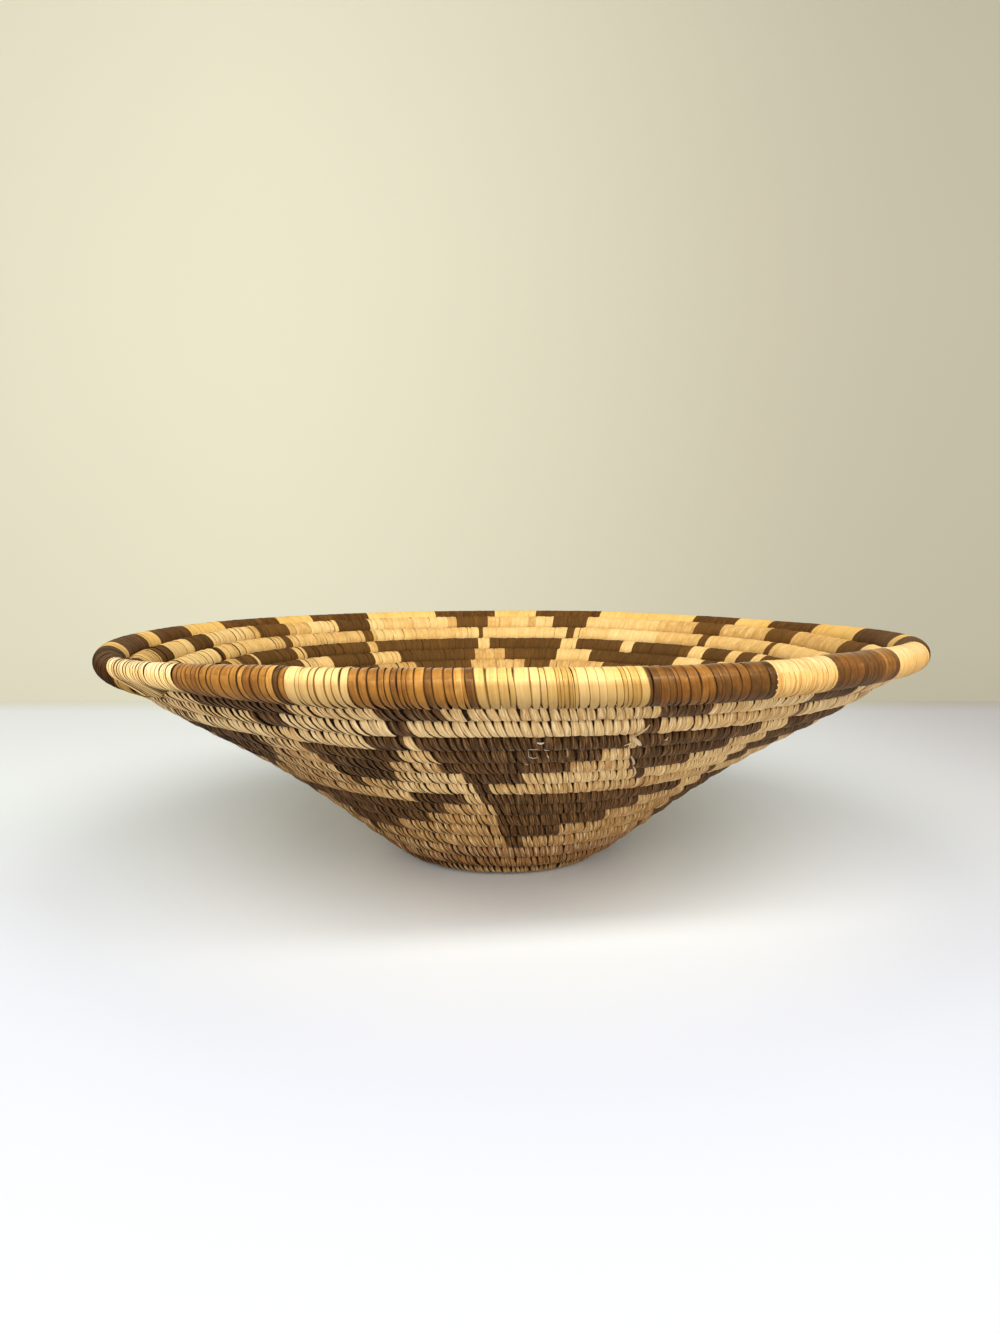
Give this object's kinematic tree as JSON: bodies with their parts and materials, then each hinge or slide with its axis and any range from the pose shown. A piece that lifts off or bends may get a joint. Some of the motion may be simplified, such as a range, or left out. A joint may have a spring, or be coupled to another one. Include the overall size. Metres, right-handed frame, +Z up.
{
  "type": "coiled basket",
  "caption": "Shallow flared bowl sewn from one spiral coil, flat base, thicker rim bound in alternating natural and dark leaf strips.",
  "frame": {"origin": "on the table, under the middle of the rim's outline", "axes": "+Z up, out of the bowl's mouth; -Y towards the viewer of the picture, +X to the viewer's right"},
  "size_m": [0.2777, 0.2812, 0.0819],
  "materials": {
    "sewn_coil": "matte sewn palm leaf, straw coloured with dark brown stepped figures",
    "knot_leaf": "matte palm leaf",
    "natural_leaf": "satin flat palm leaf strips, natural straw yellow",
    "dark_leaf": "satin flat palm leaf strips, dyed brown"
  },
  "bodies": {
    "root": {"coil": "sewn_coil", "start_knot": "knot_leaf", "rim_natural_01": "natural_leaf", "rim_natural_02": "natural_leaf", "rim_natural_03": "natural_leaf", "rim_natural_04": "natural_leaf", "rim_natural_05": "natural_leaf", "rim_natural_06": "natural_leaf", "rim_natural_07": "natural_leaf", "rim_natural_08": "natural_leaf", "rim_natural_09": "natural_leaf", "rim_natural_10": "natural_leaf", "rim_natural_11": "natural_leaf", "rim_natural_12": "natural_leaf", "rim_natural_13": "natural_leaf", "rim_natural_14": "natural_leaf", "rim_natural_15": "natural_leaf", "rim_natural_16": "natural_leaf", "rim_dark_01": "dark_leaf", "rim_dark_02": "dark_leaf", "rim_dark_03": "dark_leaf", "rim_dark_04": "dark_leaf", "rim_dark_05": "dark_leaf", "rim_dark_06": "dark_leaf", "rim_dark_07": "dark_leaf", "rim_dark_08": "dark_leaf", "rim_dark_09": "dark_leaf", "rim_dark_10": "dark_leaf", "rim_dark_11": "dark_leaf", "rim_dark_12": "dark_leaf", "rim_dark_13": "dark_leaf", "rim_dark_14": "dark_leaf", "rim_dark_15": "dark_leaf"}
  },
  "joints": []
}
